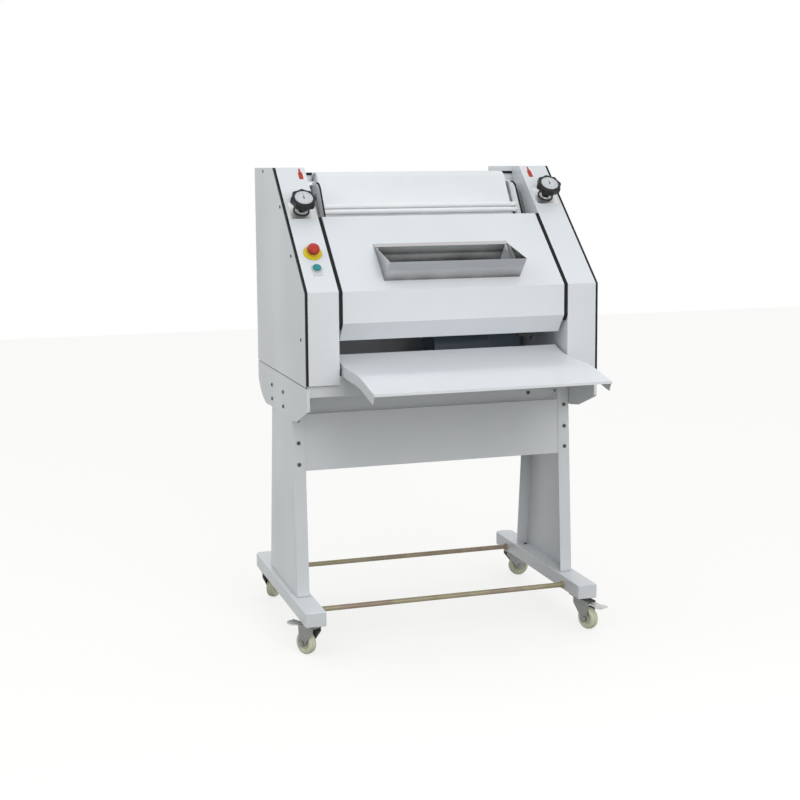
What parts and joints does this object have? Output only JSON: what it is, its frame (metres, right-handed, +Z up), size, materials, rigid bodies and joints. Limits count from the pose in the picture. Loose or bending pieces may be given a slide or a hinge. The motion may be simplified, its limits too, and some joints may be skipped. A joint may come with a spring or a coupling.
{
  "type": "bread forming machine",
  "caption": "Free-standing dough moulder on a castered stand, with a stainless feed pocket, sheeting rollers, felt belt, pressure board and an outfeed tray.",
  "frame": {"origin": "on the floor, at the middle of the footprint", "axes": "+Z up, +X to the machine's right as seen from the operator, +Y to its back"},
  "size_m": [1.0705, 1.128, 1.55],
  "materials": {
    "white_paint": "satin white powder coat",
    "stainless": "brushed stainless",
    "black_rubber": "matte",
    "felt": "white felt",
    "black_plastic": "satin",
    "red_plastic": "gloss",
    "yellow_plastic": "satin",
    "green_plastic": "gloss",
    "grey_plastic": "satin",
    "zinc": "zinc plated",
    "dark_steel": "blackened screws",
    "yellow_zinc": "yellow passivated zinc",
    "ivory_plastic": "satin nylon",
    "roller_plastic": "food-safe plastic roller",
    "roller_steel": "turned steel",
    "motor_paint": "grey-blue enamel",
    "chain_steel": "oiled steel"
  },
  "bodies": {
    "frame": {"foot_left": "white_paint", "foot_right": "white_paint", "leg_left": "white_paint", "leg_right": "white_paint", "apron": "white_paint", "tie_rods": "yellow_zinc", "caster_plates": "zinc", "lower_plate_left": "white_paint", "lower_plate_right": "white_paint", "base_pan": "white_paint", "side_frame_left": "white_paint", "side_frame_right": "white_paint", "tower_shell_left": "white_paint", "tower_shell_right": "white_paint", "side_panel_left": "white_paint", "side_panel_right": "white_paint", "rubber_trims": "black_rubber", "rear_cover": "white_paint", "belt_cheeks": "white_paint", "guard_bars": "white_paint", "outfeed_tray": "white_paint", "felt_belt": "felt", "belt_bed": "stainless", "roller_bearings": "roller_steel", "gear_motor": "motor_paint", "drive_chain": "chain_steel", "control_box": "grey_plastic", "cable_gland": "black_plastic", "knob_plates": "zinc", "estop_collar": "yellow_plastic", "start_bezel": "grey_plastic", "panel_screws": "dark_steel", "frame_bolts": "dark_steel"},
    "front_cover": {"front_cover": "white_paint", "pocket_hopper": "stainless", "latch_bracket": "black_plastic"},
    "emergency_stop": {"estop_head": "red_plastic"},
    "start_button": {"start_button": "green_plastic"},
    "left_knob": {"knob_left": "black_plastic", "knob_screw_left": "roller_steel"},
    "right_knob": {"knob_right": "black_plastic", "knob_screw_right": "roller_steel"},
    "roller_slides": {"roller_slides": "roller_steel"},
    "rear_roller": {"rear_roller": "roller_plastic"},
    "front_roller": {"front_roller": "roller_plastic"},
    "top_roller": {"top_roller": "roller_steel"},
    "bottom_roller": {"bottom_roller": "roller_steel"},
    "motor_sprocket": {"motor_sprocket": "chain_steel"},
    "pressure_board": {"pressure_board": "roller_plastic", "pressure_slide": "roller_steel"},
    "caster_front_left": {"caster_fork_front_left": "zinc"},
    "wheel_front_left": {"caster_wheel_front_left": "ivory_plastic"},
    "pedal_front_left": {"brake_pedal_front_left": "zinc"},
    "caster_front_right": {"caster_fork_front_right": "zinc"},
    "wheel_front_right": {"caster_wheel_front_right": "ivory_plastic"},
    "pedal_front_right": {"brake_pedal_front_right": "zinc"},
    "caster_back_left": {"caster_fork_back_left": "zinc"},
    "wheel_back_left": {"caster_wheel_back_left": "ivory_plastic"},
    "caster_back_right": {"caster_fork_back_right": "zinc"},
    "wheel_back_right": {"caster_wheel_back_right": "ivory_plastic"}
  },
  "joints": [
    {"name": "cover_hinge", "type": "hinge", "parent": "frame", "child": "front_cover", "pos_m": [0, 0.02953, 1.36956], "axis": [-1, 0, 0], "range_deg": [0, 80]},
    {"name": "emergency_stop_push", "type": "slide", "parent": "frame", "child": "emergency_stop", "axis": [0, 0.6692, -0.7431], "range_m": [0, 0.004]},
    {"name": "start_button_push", "type": "slide", "parent": "frame", "child": "start_button", "axis": [0, 0.6692, -0.7431], "range_m": [0, 0.003], "stiffness_N_per_m": 400, "springref_m": -0.002},
    {"name": "left_knob_turn", "type": "hinge", "parent": "frame", "child": "left_knob", "pos_m": [-0.434, 0.05152, 1.4109], "axis": [0, 0.6692, -0.7431], "range_deg": [-1250, 530]},
    {"name": "roller_gap_slide", "type": "slide", "parent": "frame", "child": "roller_slides", "axis": [0, 0.6692, -0.7431], "range_m": [-0.006, 0.014]},
    {"name": "rear_roller_turn", "type": "hinge", "parent": "roller_slides", "child": "rear_roller", "pos_m": [0, -0.0435, 1.20484], "axis": [1, 0, 0], "continuous": true},
    {"name": "right_knob_turn", "type": "hinge", "parent": "frame", "child": "right_knob", "pos_m": [0.434, 0.09165, 1.44703], "axis": [0, 0.6692, -0.7431], "range_deg": [-1250, 710]},
    {"name": "pressure_board_slide", "type": "slide", "parent": "frame", "child": "pressure_board", "axis": [0, 0.6692, -0.7431], "range_m": [-0.008, 0.014]},
    {"name": "bottom_roller_turn", "type": "hinge", "parent": "frame", "child": "bottom_roller", "pos_m": [0, -0.035, 1.043], "axis": [1, 0, 0], "continuous": true},
    {"name": "top_roller_turn", "type": "hinge", "parent": "frame", "child": "top_roller", "pos_m": [0, 0.25693, 1.49253], "axis": [1, 0, 0], "continuous": true},
    {"name": "front_roller_turn", "type": "hinge", "parent": "frame", "child": "front_roller", "pos_m": [0, -0.098, 1.185], "axis": [1, 0, 0], "continuous": true},
    {"name": "motor_turn", "type": "hinge", "parent": "frame", "child": "motor_sprocket", "pos_m": [0, 0.214, 0.93], "axis": [1, 0, 0], "continuous": true},
    {"name": "swivel_front_left", "type": "hinge", "parent": "frame", "child": "caster_front_left", "pos_m": [-0.468, -0.157, 0], "axis": [0, 0, 1], "continuous": true},
    {"name": "wheel_turn_front_left", "type": "hinge", "parent": "caster_front_left", "child": "wheel_front_left", "pos_m": [-0.48253, -0.12849, 0.0375], "axis": [-0.891, -0.454, 0], "continuous": true},
    {"name": "brake_front_left", "type": "hinge", "parent": "caster_front_left", "child": "pedal_front_left", "pos_m": [-0.48616, -0.12136, 0.086], "axis": [-0.891, -0.454, 0], "range_deg": [0, 8]},
    {"name": "swivel_front_right", "type": "hinge", "parent": "frame", "child": "caster_front_right", "pos_m": [0.468, -0.157, 0], "axis": [0, 0, 1], "continuous": true},
    {"name": "wheel_turn_front_right", "type": "hinge", "parent": "caster_front_right", "child": "wheel_front_right", "pos_m": [0.47895, -0.18707, 0.0375], "axis": [0.9397, 0.342, 0], "continuous": true},
    {"name": "brake_front_right", "type": "hinge", "parent": "caster_front_right", "child": "pedal_front_right", "pos_m": [0.48168, -0.19459, 0.086], "axis": [0.9397, 0.342, 0], "range_deg": [0, 8]},
    {"name": "swivel_back_left", "type": "hinge", "parent": "frame", "child": "caster_back_left", "pos_m": [-0.468, 0.486, 0], "axis": [0, 0, 1], "continuous": true},
    {"name": "wheel_turn_back_left", "type": "hinge", "parent": "caster_back_left", "child": "wheel_back_left", "pos_m": [-0.44743, 0.51051, 0.0375], "axis": [-0.766, 0.6428, 0], "continuous": true},
    {"name": "swivel_back_right", "type": "hinge", "parent": "frame", "child": "caster_back_right", "pos_m": [0.468, 0.486, 0], "axis": [0, 0, 1], "continuous": true},
    {"name": "wheel_turn_back_right", "type": "hinge", "parent": "caster_back_right", "child": "wheel_back_right", "pos_m": [0.5, 0.486, 0.0375], "axis": [0, 1, 0], "continuous": true}
  ],
  "couplings": [
    {"joint": "roller_gap_slide", "follows": "left_knob_turn", "m_per_rad": -0.00063662},
    {"joint": "pressure_board_slide", "follows": "right_knob_turn", "m_per_rad": -0.00063662},
    {"joint": "top_roller_turn", "follows": "bottom_roller_turn", "ratio": 1},
    {"joint": "front_roller_turn", "follows": "bottom_roller_turn", "ratio": 1.3333},
    {"joint": "motor_turn", "follows": "bottom_roller_turn", "ratio": 1}
  ]
}
